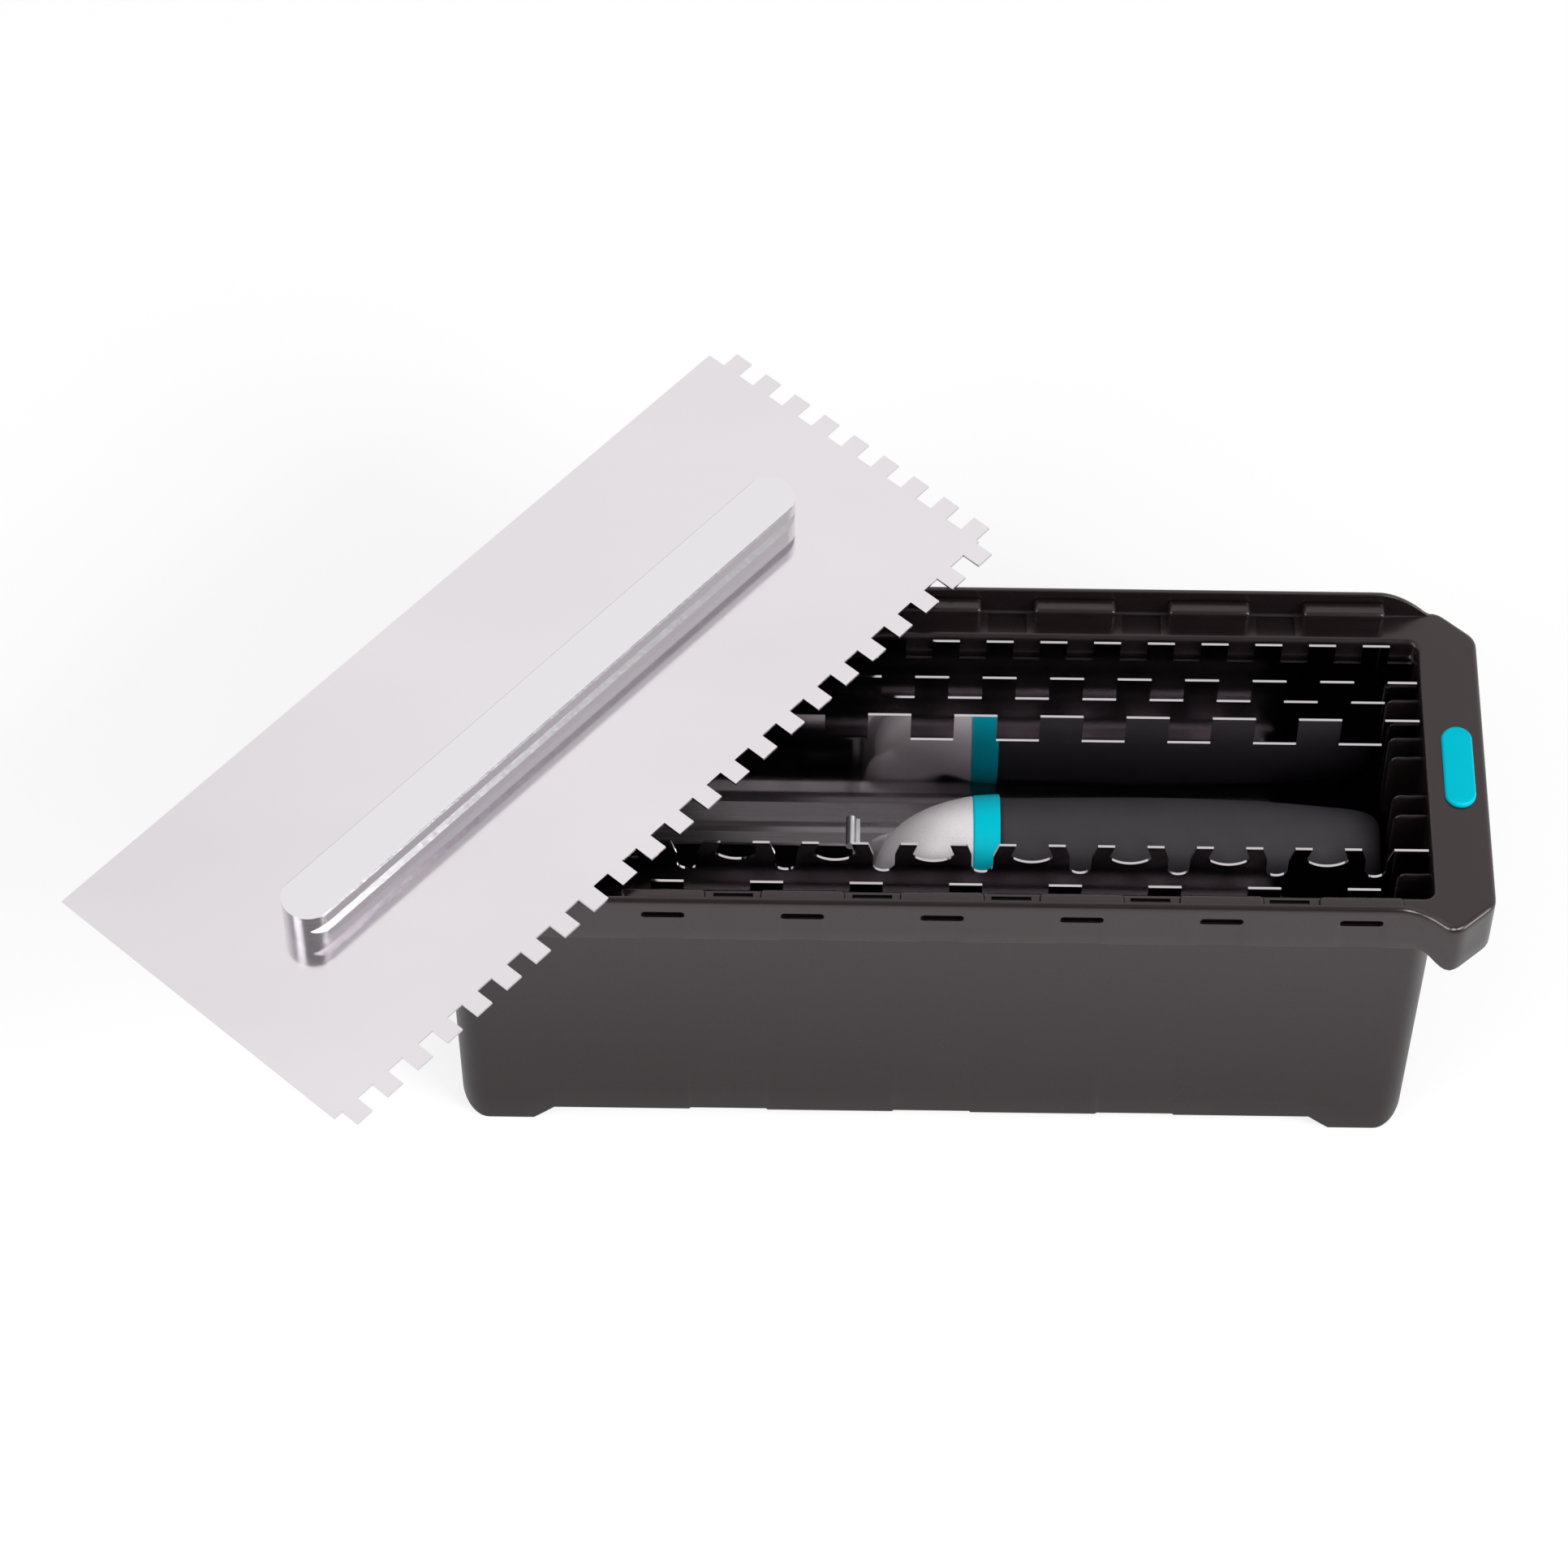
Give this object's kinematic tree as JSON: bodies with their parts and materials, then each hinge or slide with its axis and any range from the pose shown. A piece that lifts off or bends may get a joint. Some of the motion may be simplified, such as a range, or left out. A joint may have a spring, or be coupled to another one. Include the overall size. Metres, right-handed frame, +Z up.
{
  "type": "notched trowel",
  "caption": "Notched trowel kit: interchangeable stainless blades with mounting rails, a quick-change soft-grip handle and a moulded storage box that carries them.",
  "frame": {"origin": "middle of the storage box's footprint, on the surface that it stands on", "axes": "+X along the box, away from the blade that lies across it; +Y to the back of the box; +Z up"},
  "size_m": [0.4107, 0.2804, 0.1463],
  "materials": {
    "box_plastic": "fine moulded grain, charcoal",
    "teal_plastic": "smooth satin, teal",
    "blade_steel": "polished stainless sheet",
    "rail_aluminium": "extruded, milled ends, fine scratches",
    "rivet_aluminium": "ground flush",
    "cast_aluminium": "tumbled casting with a fine grain",
    "shoe_aluminium": "extruded, satin",
    "grip_rubber": "soft-touch black",
    "core_plastic": "moulded black",
    "zinc_steel": "bright zinc",
    "spring_steel": "drawn wire"
  },
  "bodies": {
    "box": {"storage_box": "box_plastic", "inlay_right": "teal_plastic", "inlay_left": "teal_plastic"},
    "plate_fine": {"blade_fine": "blade_steel", "rail_fine": "rail_aluminium", "rivets_fine": "rivet_aluminium"},
    "plate_small": {"blade_small": "blade_steel", "rail_small": "rail_aluminium", "rivets_small": "rivet_aluminium"},
    "plate_medium": {"blade_medium": "blade_steel", "rail_medium": "rail_aluminium", "rivets_medium": "rivet_aluminium"},
    "plate_large": {"blade_large": "blade_steel", "rail_large": "rail_aluminium", "rivets_large": "rivet_aluminium"},
    "plate_mixed": {"blade_mixed": "blade_steel", "rail_mixed": "rail_aluminium", "rivets_mixed": "rivet_aluminium"},
    "plate_wide": {"blade_wide": "blade_steel", "rail_wide": "rail_aluminium", "rivets_wide": "rivet_aluminium"},
    "handle": {"shoe": "shoe_aluminium", "shoe_screws": "zinc_steel", "gooseneck": "cast_aluminium", "collar_ring": "teal_plastic", "grip_core": "core_plastic", "grip_sleeve": "grip_rubber", "tang_rod": "zinc_steel", "tang_washer": "zinc_steel", "tang_nut": "zinc_steel", "end_plug": "core_plastic", "lever_pin": "zinc_steel", "lever_spring": "spring_steel"},
    "lever": {"lock_lever": "shoe_aluminium"}
  },
  "joints": [
    {"name": "plate_fine_lift", "type": "slide", "parent": "box", "child": "plate_fine", "axis": [0, 0, 1], "range_m": [0, 0.15]},
    {"name": "plate_small_lift", "type": "slide", "parent": "box", "child": "plate_small", "axis": [0, 0, 1], "range_m": [0, 0.0095]},
    {"name": "plate_medium_lift", "type": "slide", "parent": "box", "child": "plate_medium", "axis": [0, 0, 1], "range_m": [0, 0.0095]},
    {"name": "plate_wide_lift", "type": "slide", "parent": "box", "child": "plate_wide", "axis": [0, 0, 1], "range_m": [0, 0.0095]},
    {"name": "plate_large_shift", "type": "slide", "parent": "box", "child": "plate_large", "axis": [-1, 0, 0], "range_m": [0, 0.0024]},
    {"name": "plate_mixed_shift", "type": "slide", "parent": "box", "child": "plate_mixed", "axis": [-1, 0, 0], "range_m": [0, 0.0024]},
    {"name": "handle_lift", "type": "slide", "parent": "box", "child": "handle", "axis": [0, 0, 1], "range_m": [0, 0.135]},
    {"name": "lever_swing", "type": "hinge", "parent": "handle", "child": "lever", "pos_m": [-0.0243, -0.0063, 0.029], "axis": [0, -1, 0], "range_deg": [0, 12], "stiffness_Nm_per_rad": 0.3, "springref_deg": -11.46, "deforming": ["lever_spring"]}
  ]
}
